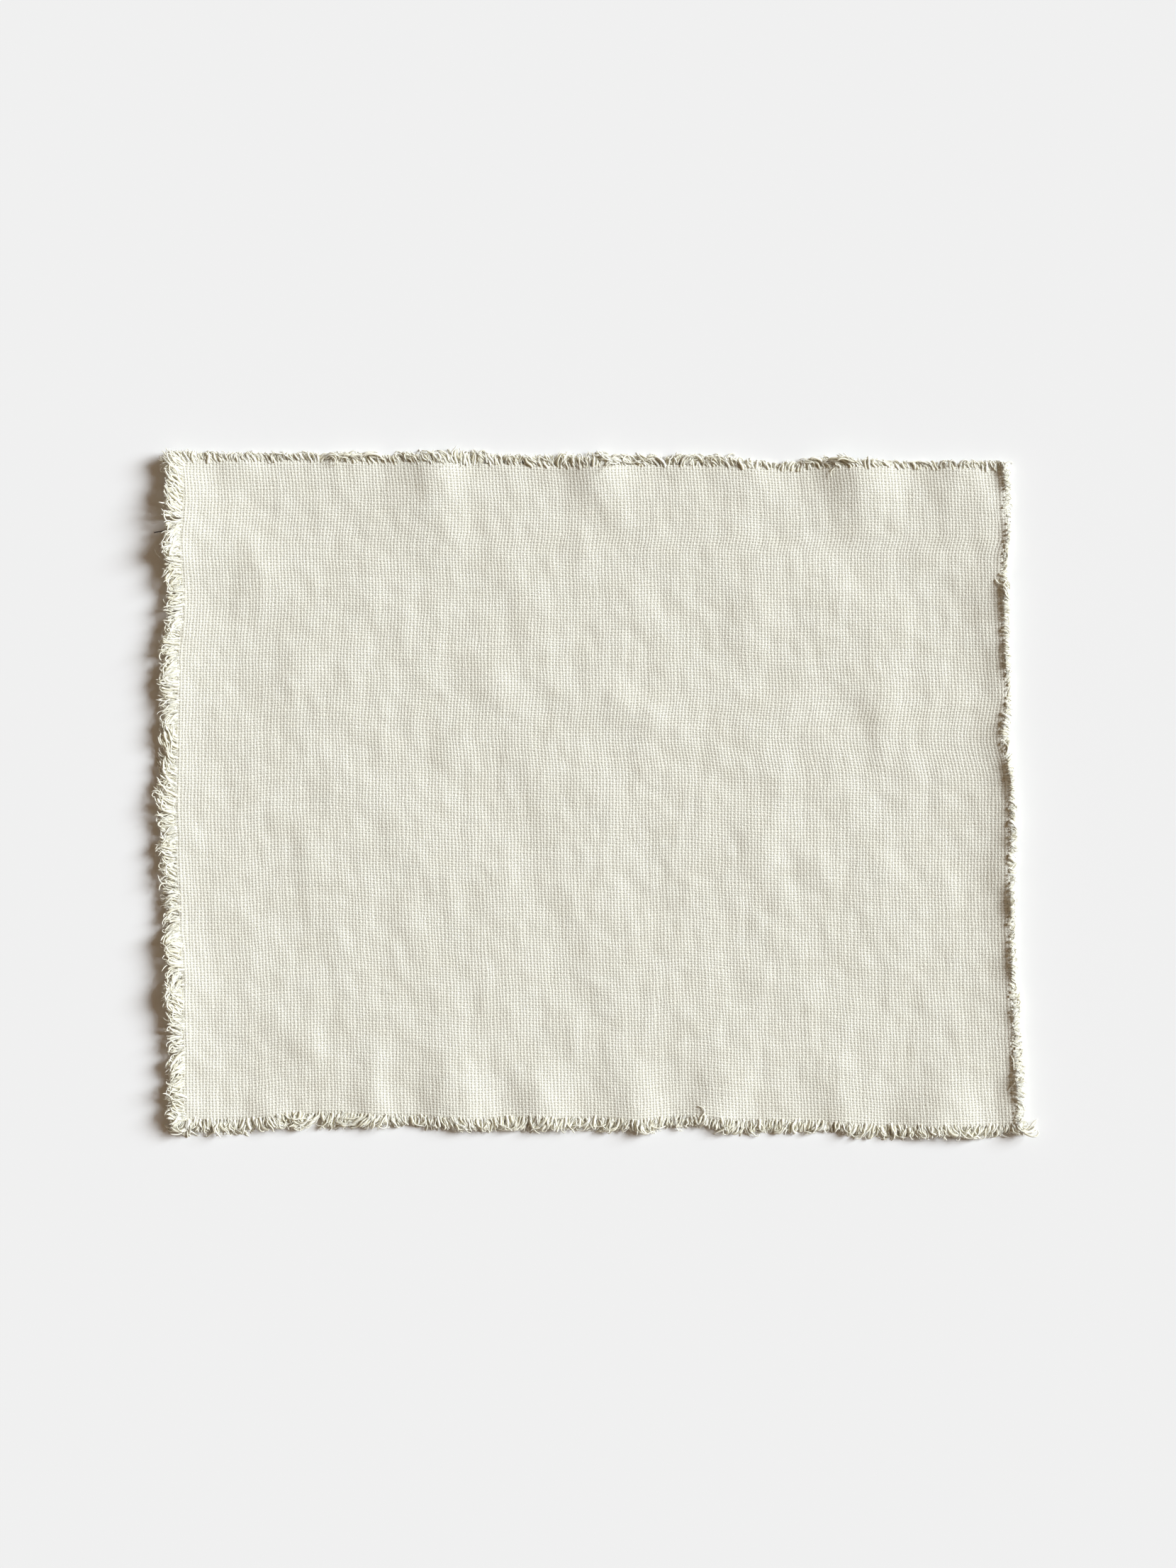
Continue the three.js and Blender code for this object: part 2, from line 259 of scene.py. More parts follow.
LEFT_FRONT = np.array([FRONT_EDGE["at"][0], FRONT_EDGE["edge"][0]])
RIGHT_FRONT = np.array([FRONT_EDGE["at"][-1], FRONT_EDGE["edge"][-1]])
LEFT_BACK = np.array([BACK_EDGE["at"][0], BACK_EDGE["edge"][0]])
RIGHT_BACK = np.array([BACK_EDGE["at"][-1], BACK_EDGE["edge"][-1]])


def plan(u, v):
    """The cloth's plan: the patch between its four uneven edges, with u to the right and v to the back."""
    u, v = np.broadcast_arrays(np.asarray(u, float), np.asarray(v, float))
    front_x = mix(LEFT_FRONT[0], RIGHT_FRONT[0], u)
    back_x = mix(LEFT_BACK[0], RIGHT_BACK[0], u)
    left_y = mix(LEFT_FRONT[1], LEFT_BACK[1], v)
    right_y = mix(RIGHT_FRONT[1], RIGHT_BACK[1], v)
    front = np.stack([front_x, along(FRONT_EDGE, "edge", front_x)], -1)
    back = np.stack([back_x, along(BACK_EDGE, "edge", back_x)], -1)
    left = np.stack([along(LEFT_EDGE, "edge", left_y), left_y], -1)
    right = np.stack([along(RIGHT_EDGE, "edge", right_y), right_y], -1)
    u, v = u[..., None], v[..., None]
    corners = mix(mix(LEFT_FRONT, RIGHT_FRONT, u), mix(LEFT_BACK, RIGHT_BACK, u), v)
    return mix(left, right, u) + mix(front, back, v) - corners


def curl_height(edge, inward, y):
    share = np.clip(inward / along(edge, "curl", y), 0, 1)
    return along(edge, "lift", y) * (1 - share) ** 2


def rim_height(inward, y):
    uneven = 1.0
    for share, length, phase in RIM_WAVES:
        uneven = uneven + share * np.sin(y / length + phase)
    return RIM_LIFT * uneven * (1 - np.clip(inward / RIM_WIDTH, 0, 1)) ** 2


def ridge_heights(ridges, x, y, strength):
    """Rounded ridges along lines. strength gives the height along a line, as a share of the whole."""
    total = np.zeros_like(x)
    for x0, y0, x1, y1, half, height in zip(*ridges.values(), strict=True):
        run_x, run_y = x1 - x0, y1 - y0
        length = np.hypot(run_x, run_y)
        share = ((x - x0) * run_x + (y - y0) * run_y) / length**2
        aside = np.abs((x - x0) * run_y - (y - y0) * run_x) / length
        section = 0.5 + 0.5 * np.cos(np.pi * np.clip(aside / half, 0, 1))
        total += height * section * strength(np.clip(share, 0, 1))
    return total


def fading_inward(share):
    return 1 - ease(share)


def highest_halfway(share):
    return np.sin(np.pi * share) ** 2


def make_crease_waves():
    """Wave vectors, phases and heights of the fine creasing."""
    rng = np.random.default_rng(5)
    waves = CREASES["waves"].astype(int)
    count = waves.sum()
    numbers = 2 * np.pi / (np.repeat(CREASES["length"], waves) * rng.uniform(0.8, 1.25, count))
    turns = rng.normal(CREASE_TURN, CREASE_TURN_SPREAD, count)
    return {
        "x": numbers * np.cos(turns),
        "y": numbers * np.sin(turns),
        "phase": rng.uniform(0, 2 * np.pi, count),
        "height": np.repeat(CREASES["slope"], waves) / numbers,
    }


CREASE_WAVES = make_crease_waves()


def crease_height(x, y):
    total = np.zeros_like(x)
    for kx, ky, phase, height in zip(*CREASE_WAVES.values(), strict=True):
        total += height * np.sin(kx * x + ky * y + phase)
    lowest = CREASE_DEEPEST * np.sqrt(np.sum(CREASE_WAVES["height"] ** 2) / 2)
    return np.maximum(total + lowest, 0)


def fold_height(x, y):
    """Height of the cloth's underside above the table: its curls, ripples, wrinkles and creases."""
    height = curl_height(LEFT_EDGE, x - along(LEFT_EDGE, "edge", y), y)
    height += curl_height(RIGHT_EDGE, along(RIGHT_EDGE, "edge", y) - x, y)
    height += rim_height(along(RIGHT_EDGE, "edge", y) - x, y)
    height += ridge_heights(EDGE_RIPPLES, x, y, fading_inward)
    height += ridge_heights(INNER_WRINKLES, x, y, highest_halfway)
    height += ridge_heights(FINE_WRINKLES, x, y, highest_halfway)
    return height + crease_height(x, y)


def cad_shift():
    """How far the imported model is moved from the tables, to put its origin in the middle."""
    low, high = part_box("cloth")
    edge = np.linspace(0, 1, 57)
    rim = np.concatenate([plan(edge, 0), plan(edge, 1), plan(0, edge), plan(1, edge)])
    middle = (rim.min(0) + rim.max(0)) / 2
    return np.array([(low.x + high.x) / 2, (low.y + high.y) / 2]) / MM - middle


SHIFT = cad_shift()


def to_metres(points):
    """Points in the tables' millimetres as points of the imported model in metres."""
    points = np.array(points, float)
    points[..., :2] += SHIFT
    return points * MM


def mesh_object(name, points, faces):
    """A smooth mesh object from points in metres and lists of corners."""
    mesh = bpy.data.meshes.new(name)
    mesh.from_pydata(points.tolist(), [], faces)
    mesh.update()
    mesh.polygons.foreach_set("use_smooth", np.full(len(mesh.polygons), True))
    thing = bpy.data.objects.new(name, mesh)
    bpy.context.scene.collection.objects.link(thing)
    return thing


def add_uv(thing, name, values):
    """A UV map from one pair of values for each point."""
    corners = np.empty(len(thing.data.loops), int)
    thing.data.loops.foreach_get("vertex_index", corners)
    layer = thing.data.uv_layers.new(name=name)
    layer.data.foreach_set("uv", values[corners].astype(np.float32).ravel())


def grid_faces(columns, rows):
    """Four-sided faces of a grid whose points run along each row in turn."""
    i, j = np.meshgrid(np.arange(columns - 1), np.arange(rows - 1))
    first = (j * columns + i).ravel()
    return np.stack([first, first + 1, first + columns + 1, first + columns], -1)


def smooth_noise(rng, count, step):
    """Numbers from -2 to 2 that wander smoothly around 0, with a new value about every step places."""
    knots = np.clip(rng.normal(0, 1, int(count / step) + 3), -2, 2)
    at = np.arange(count) / step
    row = at.astype(int)
    return mix(knots[row], knots[row + 1], ease(at - row))


def thread_stations(threads):
    """The cloth's edge, the middle of each thread, and the other edge, counted in threads."""
    return np.concatenate([[0.0], np.arange(threads) + 0.5, [threads]])


def rim_faces(rows, columns, row_picks, column_picks, first_under):
    """Faces that join the top's outer points to the coarser underside's."""

    def under_at(row, column):
        return first_under + row * len(column_picks) + column

    faces = []
    last_row, last_column = len(row_picks) - 1, len(column_picks) - 1
    for c in range(last_column):
        front = list(range(column_picks[c], column_picks[c + 1] + 1))
        back = [(rows - 1) * columns + k for k in front]
        faces.append([under_at(0, c), under_at(0, c + 1), *reversed(front)])
        faces.append([under_at(last_row, c + 1), under_at(last_row, c), *back])
    for r in range(last_row):
        left = [k * columns for k in range(row_picks[r], row_picks[r + 1] + 1)]
        right = [k + columns - 1 for k in left]
        faces.append([under_at(r + 1, 0), under_at(r, 0), *left])
        faces.append([under_at(r, last_column), under_at(r + 1, last_column), *reversed(right)])
    return faces


def make_cloth():
    """The woven sheet: on top a point where each pair of threads crosses, raised by the yarn there, and a
    coarser underside."""
    rng = np.random.default_rng(3)
    s, t = np.meshgrid(thread_stations(WARP_THREADS), thread_stations(WEFT_THREADS))
    rows, columns = s.shape
    inside = (s > 0) & (s < WARP_THREADS) & (t > 0) & (t < WEFT_THREADS)
    wander_x = np.stack([smooth_noise(rng, rows, WANDER_THREADS) for _ in range(columns)], 1)
    wander_y = np.stack([smooth_noise(rng, columns, WANDER_THREADS) for _ in range(rows)], 0)
    xy = plan(
        (s + YARN_WANDER * wander_x * inside) / WARP_THREADS,
        (t + YARN_WANDER * wander_y * inside) / WEFT_THREADS,
    )
    jags = rng.uniform(-EDGE_JAGS, EDGE_JAGS, xy.shape)
    x, y = np.moveaxis(xy + np.where(inside[..., None], 0, jags), -1, 0)

    warp_over = (np.floor(s) + np.floor(t)) % 2 == 0
    warp_fat = np.stack([smooth_noise(rng, rows, FATNESS_THREADS) for _ in range(columns)], 1)
    weft_fat = np.stack([smooth_noise(rng, columns, FATNESS_THREADS) for _ in range(rows)], 0)
    relief = np.where(warp_over, KNUCKLE_RELIEF + YARN_RELIEF * warp_fat, YARN_RELIEF * weft_fat)
    relief = np.where(inside, relief, -EDGE_ROUNDING)
    top = np.stack([x, y, fold_height(x, y) + THICKNESS + relief], -1).reshape(-1, 3)

    column_picks = [*range(0, columns - 1, UNDERSIDE_STEP), columns - 1]
    row_picks = [*range(0, rows - 1, UNDERSIDE_STEP), rows - 1]
    picks = np.ix_(row_picks, column_picks)
    under = np.stack([x[picks], y[picks], fold_height(x[picks], y[picks])], -1).reshape(-1, 3)
    under_faces = grid_faces(len(column_picks), len(row_picks))[:, ::-1] + len(top)
    faces = grid_faces(columns, rows).tolist() + under_faces.tolist()
    faces += rim_faces(rows, columns, row_picks, column_picks, len(top))

    cloth = mesh_object("woven_cloth", to_metres(np.concatenate([top, under])), faces)
    threads = np.stack([s, t], -1)
    add_uv(cloth, "threads", np.concatenate([threads.reshape(-1, 2), threads[picks].reshape(-1, 2)]))
    return cloth


def tubes(paths, radii, sides):
    """Points and faces of many closed tubes. paths is (tubes, steps, 3) and radii is (tubes, steps)."""
    count, steps, _ = paths.shape
    forward = np.gradient(paths, axis=1)
    forward /= np.linalg.norm(forward, axis=-1, keepdims=True) + 1e-12
    side = np.cross(forward, [0.0, 0.0, 1.0])
    weak = np.linalg.norm(side, axis=-1, keepdims=True) < 0.05
    side = np.where(weak, np.cross(forward, [1.0, 0.0, 0.0]), side)
    side /= np.linalg.norm(side, axis=-1, keepdims=True)
    lift = np.cross(side, forward)
    turn = 2 * np.pi * np.arange(sides) / sides
    ring = side[:, :, None] * np.cos(turn)[:, None] + lift[:, :, None] * np.sin(turn)[:, None]
    points = paths[:, :, None] + radii[:, :, None, None] * ring
    k, m = np.meshgrid(np.arange(steps - 1), np.arange(sides), indexing="ij")
    a = (k * sides + m).ravel()
    b = (k * sides + (m + 1) % sides).ravel()
    walls = np.stack([a, a + sides, b + sides, b], -1)
    starts = (np.arange(count) * steps * sides)[:, None, None]
    root_cap = np.arange(sides)
    tip_cap = root_cap[::-1] + (steps - 1) * sides
    faces = (walls[None] + starts).reshape(-1, 4).tolist()
    faces += (root_cap[None] + starts[:, 0]).tolist()
    faces += (tip_cap[None] + starts[:, 0]).tolist()
    return points.reshape(-1, 3), faces


# How each fringe looks. Angles are in degrees. lean: mean turn along the edge, anticlockwise from outward
# seen from above. lean_spread and curl_spread: of whole clumps. rise: first slope upward. droop: how far the
# slope turns down by the tip. longest: the longest strand, in mm. hairs: fine hairs for each thread.
FRINGES = {
    "left": {
        "edge": LEFT_EDGE,
        "node": "fringe_left",
        "threads": WEFT_THREADS,
        "lean": 4,
        "lean_spread": 30,
        "curl_spread": 30,
        "rise": 18,
        "droop": 14,
        "longest": 15,
        "hairs": 1,
        "seed": 21,
    },
    "right": {
        "edge": RIGHT_EDGE,
        "node": "fringe_right",
        "threads": WEFT_THREADS,
        "lean": 0,
        "lean_spread": 26,
        "curl_spread": 40,
        "rise": 6,
        "droop": 60,
        "longest": 8,
        "hairs": 2,
        "seed": 22,
    },
    "back": {
        "edge": BACK_EDGE,
        "node": "fringe_back",
        "threads": WARP_THREADS,
        "lean": 20,
        "lean_spread": 26,
        "curl_spread": 45,
        "rise": 30,
        "droop": 60,
        "longest": 14,
        "hairs": 1,
        "seed": 23,
    },
    "front": {
        "edge": FRONT_EDGE,
        "node": "fringe_front",
        "threads": WARP_THREADS,
        "lean": 0,
        "lean_spread": 18,
        "curl_spread": 40,
        "rise": 18,
        "droop": 46,
        "longest": 16,
        "hairs": 1,
        "seed": 24,
    },
}


def named_rows(names, **rows):
    """Rows of values as one dictionary of named values for each row."""
    return {row: dict(zip(names.split(), values, strict=True)) for row, values in rows.items()}


# The kinds of strand. each: how many for each thread, or None for a fringe's own number of hairs. radius and
# tip: in mm. sides: of its section. shortest and longest: share of the fringe's reach. loose: how freely it
# leaves its clump.
STRANDS = named_rows(
    "each radius tip sides shortest longest loose",
    base=(1, 0.85, 0.66, 5, 0.6, 0.9, 0.4),
    core=(1, 0.56, 0.38, 5, 0.7, 1.0, 0.6),
    ply=(3, 0.36, 0.28, 4, 0.6, 1.12, 1.0),
    hair=(None, 0.07, 0.07, 3, 0.3, 1.1, 1.6),
)

STRAND_STEPS = 13
ROOT_INSIDE = (0.4, 2.8)
ROOT_ASIDE = 0.5
ROOT_LEVEL = (0.3, 1.0)
STRAIGHT_ROOT = 0.3
RADIUS_RANGE = (0.75, 1.15)
LAST_STEP = 0.98
BLUNT_END = 0.6
TABLE_GAP = 0.02

# Clumps of neighbouring threads that move together, and the wider sweeps that turn many clumps. Degrees.
CLUMP_THREADS = (1, 6)
CLUMP_LEAN = 10
CLUMP_RISE = 5
CLUMP_REACH = (0.8, 1.1)
SWEEP_THREADS = 9

# How far a strand with a loose of 1 strays from its clump, in degrees. HOOKED: share of strands with a hook
# at the tip. RISE_BY_LIFT: steeper by this for each mm that the edge lies above LOW_LIFT.
LEAN_STRAY = 14
CURL_STRAY = 24
HOOK_STRAY = 120
RISE_STRAY = 6
HOOKED = 0.3
HEADING_WIGGLE = 26
SLOPE_WIGGLE = 20
WIGGLE_WAVES = (4, 11)
DROOP_RANGE = (0.5, 1.4)
RISE_BY_LIFT = 8
LOW_LIFT = 2
STEEPEST = 42

# Extra threads crowd at each corner and fan out around it.
CORNER_THREADS = 7
CORNER_CLUMP = 3
CORNER_SHARE = 0.012
CORNER_LEAN = (8, 45)
CORNER_REACH = 0.8

# Single ends that strayed: the fringe that each joins, its radius, its tone and its points.
# A point is X, Y and height above the cloth's top there. A tone below 0 makes the strand nearly black.
STRAY_SIDES = 6
STRAY_SMOOTHING = 3
STRAYS = (
    {
        "side": "right",
        "radius": 0.32,
        "tone": 0.9,
        "points": [
            (213.7, 113.3, 0.3),
            (214.9, 111.4, 0.8),
            (216.8, 110.2, 1.0),
            (218.6, 111.2, 1.0),
            (219.4, 112.9, 0.4),
        ],
    },
    {
        "side": "right",
        "radius": 0.26,
        "tone": 0.8,
        "points": [(217.5, 28.1, 0.3), (219.3, 26.8, 0.9), (220.3, 24.2, 0.9), (219.6, 21.6, 0.4)],
    },
    {
        "side": "right",
        "radius": 0.26,
        "tone": 0.7,
        "points": [(220.5, -15.0, 0.2), (222.4, -14.9, 0.6), (223.4, -16.1, 0.5), (222.6, -17.2, 0.0)],
    },
    {
        "side": "right",
        "radius": 0.24,
        "tone": 0.8,
        "points": [(222.0, -138.0, 0.3), (223.4, -141.0, 0.6), (223.3, -145.0, 0.4), (223.9, -148.1, -0.4)],
    },
    {
        "side": "right",
        "radius": 0.24,
        "tone": 0.7,
        "points": [(220.5, -156.4, 0.3), (223.0, -153.8, 0.8), (224.9, -150.6, 0.5), (226.1, -148.1, -0.3)],
    },
    {
        "side": "front",
        "radius": 0.26,
        "tone": 0.9,
        "points": [(57.0, -165.0, 0.3), (59.6, -165.6, 0.7), (60.6, -167.8, 0.7), (58.4, -170.4, 0.3)],
    },
    {
        "side": "left",
        "radius": 0.08,
        "tone": 0.6,
        "points": [
            (-229.7, 128.8, 0.6),
            (-229.4, 127.4, 0.9),
            (-228.0, 125.6, 1.1),
            (-226.1, 124.1, 1.0),
            (-223.5, 123.0, 0.8),
        ],
    },
    {
        "side": "left",
        "radius": 0.34,
        "tone": -1.0,
        "points": [(-230.1, 137.8, 0.4), (-228.0, 138.2, 0.9), (-225.0, 138.7, 1.2), (-222.0, 139.2, 0.9)],
    },
)


def stray_path(points):
    """A smooth path through a stray's points, at their heights above the cloth's top."""
    points = np.array(points)
    at = np.linspace(0, len(points) - 1, STRAND_STEPS)
    path = np.stack([np.interp(at, np.arange(len(points)), column) for column in points.T], -1)
    for _ in range(STRAY_SMOOTHING):
        path[1:-1] = (path[:-2] + 2 * path[1:-1] + path[2:]) / 4
    path[:, 2] += fold_height(path[:, 0], path[:, 1]) + THICKNESS
    return path


def edge_roots(side, share):
    """Root points on a side's woven edge, with the outward and sideways directions there."""
    u, v, out_x, out_y = {
        "front": (share, 0 * share, 0, -1),
        "right": (1 + 0 * share, share, 1, 0),
        "back": (1 - share, 1 + 0 * share, 0, 1),
        "left": (0 * share, 1 - share, -1, 0),
    }[side]
    outward = np.array([out_x, out_y], float)
    sideways = np.array([-out_y, out_x], float)
    return plan(u, v), outward, sideways


def make_clumps(rng, style):
    """Where each thread and each extra corner thread starts along its edge, and how it turns."""
    threads = style["threads"]
    clump = np.repeat(np.arange(threads), rng.integers(*CLUMP_THREADS, threads))[:threads]
    near = rng.uniform(0, CORNER_SHARE, CORNER_THREADS)
    corner_lean = rng.uniform(*CORNER_LEAN, CORNER_THREADS)
    sweep = style["lean_spread"] * smooth_noise(rng, threads, SWEEP_THREADS)
    corner = np.arange(CORNER_THREADS) // CORNER_CLUMP + clump[-1] + 1
    clump = np.concatenate([clump, corner, corner + CORNER_THREADS])
    count = clump.max() + 1
    return {
        "share": np.concatenate([(np.arange(threads) + 0.5) / threads, near, 1 - near]),
        "lean": rng.normal(style["lean"], CLUMP_LEAN, count)[clump]
        + np.concatenate([sweep, sweep[0] / 2 - corner_lean, sweep[-1] / 2 + corner_lean]),
        "curl": rng.normal(0, style["curl_spread"], count)[clump],
        "rise": rng.normal(style["rise"], CLUMP_RISE, count)[clump],
        "reach": rng.uniform(*CLUMP_REACH, count)[clump]
        * np.concatenate([np.ones(threads), np.full(2 * CORNER_THREADS, CORNER_REACH)]),
    }


def strand_paths(rng, side, style, kind, clumps, each):
    """Paths in the tables' millimetres that start inside the woven edge and curl out from it."""
    share, lean, curl, rise, reach = (np.repeat(column, each) for column in clumps.values())
    roots, outward, sideways = edge_roots(side, share)
    at = roots[:, 1] if side in ("left", "right") else roots[:, 0]
    count, loose = len(share), kind["loose"]
    lean = lean + rng.normal(0, LEAN_STRAY * loose, count)
    curl = curl + rng.normal(0, CURL_STRAY * loose, count)
    hook = rng.normal(0, HOOK_STRAY * loose, count) * (rng.uniform(0, 1, count) < HOOKED)
    rise = rise + rng.normal(0, RISE_STRAY * loose, count)
    if "lift" in style["edge"]:
        rise += RISE_BY_LIFT * (along(style["edge"], "lift", at) - LOW_LIFT)
    droop = style["droop"] * rng.uniform(*DROOP_RANGE, count)

    s = np.linspace(0, 1, STRAND_STEPS)
    started = ease(s / STRAIGHT_ROOT)
    waves = rng.uniform(*WIGGLE_WAVES, (2, count, 1))
    phases = rng.uniform(0, 2 * np.pi, (2, count, 1))
    wiggle = np.sin(waves * s + phases) * started * loose
    heading = lean[:, None] * started + curl[:, None] * s**1.5 + hook[:, None] * s**4
    heading = heading + HEADING_WIGGLE * wiggle[0]
    slope = rise[:, None] * started - droop[:, None] * s + SLOPE_WIGGLE * wiggle[1]
    heading, slope = np.radians(heading), np.radians(np.minimum(slope, STEEPEST))

    step = 1 / (STRAND_STEPS - 1)
    out = np.cumsum(np.cos(slope) * np.cos(heading), 1) * step
    aside = np.cumsum(np.cos(slope) * np.sin(heading), 1) * step
    up = np.cumsum(np.sin(slope), 1) * step
    reach = reach * along(style["edge"], "reach", at) * rng.uniform(kind["shortest"], kind["longest"], count)
    inside = rng.uniform(*ROOT_INSIDE, count)
    length = np.minimum((reach + inside) / out.max(1), style["longest"])[:, None]
    across = roots + sideways * rng.uniform(-ROOT_ASIDE, ROOT_ASIDE, (count, 1))
    xy = across[:, None] + (out * length - inside[:, None])[..., None] * outward
    xy += (aside * length)[..., None] * sideways
    level = THICKNESS * rng.uniform(*ROOT_LEVEL, (count, 1))
    z = fold_height(xy[..., 0], xy[..., 1]) + level + up * length
    return np.concatenate([xy, z[..., None]], -1)


def make_fringe(side, style):
    """One edge's frayed yarn ends: thick and thin strands, fine hairs and the listed strays."""
    rng = np.random.default_rng(style["seed"])
    clumps = make_clumps(rng, style)
    s = np.linspace(0, 1, STRAND_STEPS)
    points, faces, strands = [], [], []

    def add_tubes(paths, radii, sides, tones):
        first = sum(map(len, points))
        tube_points, tube_faces = tubes(paths, radii, sides)
        points.append(tube_points)
        faces.extend([k + first for k in face] for face in tube_faces)
        place = np.tile(np.repeat(s, sides), len(paths))
        strands.append(np.stack([place, np.repeat(tones, STRAND_STEPS * sides)], -1))

    for kind in STRANDS.values():
        paths = strand_paths(rng, side, style, kind, clumps, kind["each"] or style["hairs"])
        taper = mix(kind["radius"], kind["tip"], s**2) * np.where(s > LAST_STEP, BLUNT_END, 1)
        radii = taper * rng.uniform(*RADIUS_RANGE, (len(paths), 1))
        paths[..., 2] = np.maximum(paths[..., 2], radii + TABLE_GAP)
        add_tubes(paths, radii, kind["sides"], rng.uniform(0, 1, len(paths)))
    for stray in STRAYS:
        if stray["side"] == side:
            radii = np.full((1, STRAND_STEPS), stray["radius"])
            add_tubes(stray_path(stray["points"])[None], radii, STRAY_SIDES, np.array([stray["tone"]]))

    fringe = mesh_object(f"yarn_ends_{side}", to_metres(np.concatenate(points)), faces)
    add_uv(fringe, "strands", np.concatenate(strands))
    return fringe


# Materials


def linear(colour):
    """A display colour, 0 to 255, as linear light."""
    share = np.array(colour, float) / 255
    return np.where(share <= 0.04045, share / 12.92, ((share + 0.055) / 1.055) ** 2.4).tolist()


class Nodes:
    """A short way to write a material's node tree."""

    def __init__(self, name):
        self.material = bpy.data.materials.new(name)
        self.material.use_nodes = True
        self.tree = self.material.node_tree
        self.shader = self.tree.nodes["Principled BSDF"]

    def add(self, kind, **settings):
        node = self.tree.nodes.new(kind)
        for key, value in settings.items():
            setattr(node, key, value)
        return node

    def link(self, output, socket):
        self.tree.links.new(output, socket)

    def fill(self, sockets, values):
        for socket, value in zip(sockets, values, strict=False):
            if isinstance(value, (int, float)):
                socket.default_value = value
            else:
                self.link(value, socket)

    def math(self, operation, *inputs):
        node = self.add("ShaderNodeMath", operation=operation)
        self.fill(node.inputs, inputs)
        return node.outputs[0]

    def sum(self, a, b):
        return self.math("ADD", a, b)

    def less(self, a, b):
        return self.math("SUBTRACT", a, b)

    def times(self, a, b):
        return self.math("MULTIPLY", a, b)

    def vector(self, x, y, z=0.0):
        node = self.add("ShaderNodeCombineXYZ")
        self.fill(node.inputs, (x, y, z))
        return node.outputs[0]

    def uv(self, name):
        node = self.add("ShaderNodeUVMap", uv_map=name)
        split = self.add("ShaderNodeSeparateXYZ")
        self.link(node.outputs[0], split.inputs[0])
        return split.outputs[0], split.outputs[1]

    def noise(self, vector, scale, detail=2.0, roughness=0.5):
        node = self.add("ShaderNodeTexNoise")
        sockets = [node.inputs[name] for name in ("Scale", "Detail", "Roughness")]
        self.fill(sockets, (scale, detail, roughness))
        self.link(vector, node.inputs["Vector"])
        return node.outputs["Fac"]

    def ramp(self, factor, stops):
        node = self.add("ShaderNodeValToRGB")
        elements = node.color_ramp.elements
        while len(elements) < len(stops):
            elements.new(0.5)
        for element, (position, colour) in zip(elements, stops, strict=True):
            element.position = position
            element.color = (*linear(colour), 1)
        self.link(factor, node.inputs[0])
        return node.outputs["Color"]

    def multiply(self, a, b):
        node = self.add("ShaderNodeMix", data_type="RGBA", blend_type="MULTIPLY")
        node.inputs["Factor"].default_value = 1.0
        self.link(a, node.inputs["A"])
        self.link(b, node.inputs["B"])
        return node.outputs["Result"]

    def bump(self, height, distance):
        node = self.add("ShaderNodeBump")
        node.inputs["Distance"].default_value = distance
        self.link(height, node.inputs["Height"])
        self.link(node.outputs["Normal"], self.shader.inputs["Normal"])


def cotton(nodes):
    """Matte cotton's gloss and sheen."""
    nodes.shader.inputs["Roughness"].default_value = 0.92
    nodes.shader.inputs["Specular IOR Level"].default_value = 0.2
    nodes.shader.inputs["Sheen Weight"].default_value = 0.1
    nodes.shader.inputs["Sheen Roughness"].default_value = 0.5


def yarn_height(nodes, yarn, crossing, thread, off_axis, fatness):
    """Height of a yarn that passes over and under the yarns it crosses, with a crowned section."""
    half_width = nodes.sum(nodes.times(fatness, yarn["fatter"]), yarn["half"])
    phase = nodes.times(nodes.sum(nodes.less(crossing, 0.5), thread), np.pi)
    ratio = nodes.math("DIVIDE", off_axis, half_width)
    section = nodes.math("MAXIMUM", nodes.less(1.0, nodes.times(ratio, ratio)), 0.0)
    rise = nodes.times(nodes.math("COSINE", phase), yarn["swing"])
    return nodes.sum(rise, nodes.times(section, yarn["crown"]))


# The weave's relief. half and fatter: half a yarn's width, in threads, and how much more where it is fattest.
# swing: how far it rises and falls. crown: how far its middle stands out. YARN_BLEND: how softly two yarns
# meet. These heights are in units of BUMP_SCALE mm. The painted shade, darkest in the gaps and palest on the
# yarn tops, is such a height over SHADE_RANGE, plus SHADE_SHIFT.
WARP_YARN = {"half": 0.40, "fatter": 0.10, "swing": 0.12, "crown": 0.25}
WEFT_YARN = {"half": 0.42, "fatter": 0.10, "swing": 0.073, "crown": 0.22}
YARN_BLEND = 0.12
SWAY_SCALE = 0.4
SWAY = 0.5
FATNESS_STRETCH = 0.3
THREAD_STEP = 3.7
FIBRE_RELIEF = 0.4
SHADE_RANGE = 0.283
SHADE_SHIFT = 0.125
BUMP_SCALE = 0.84


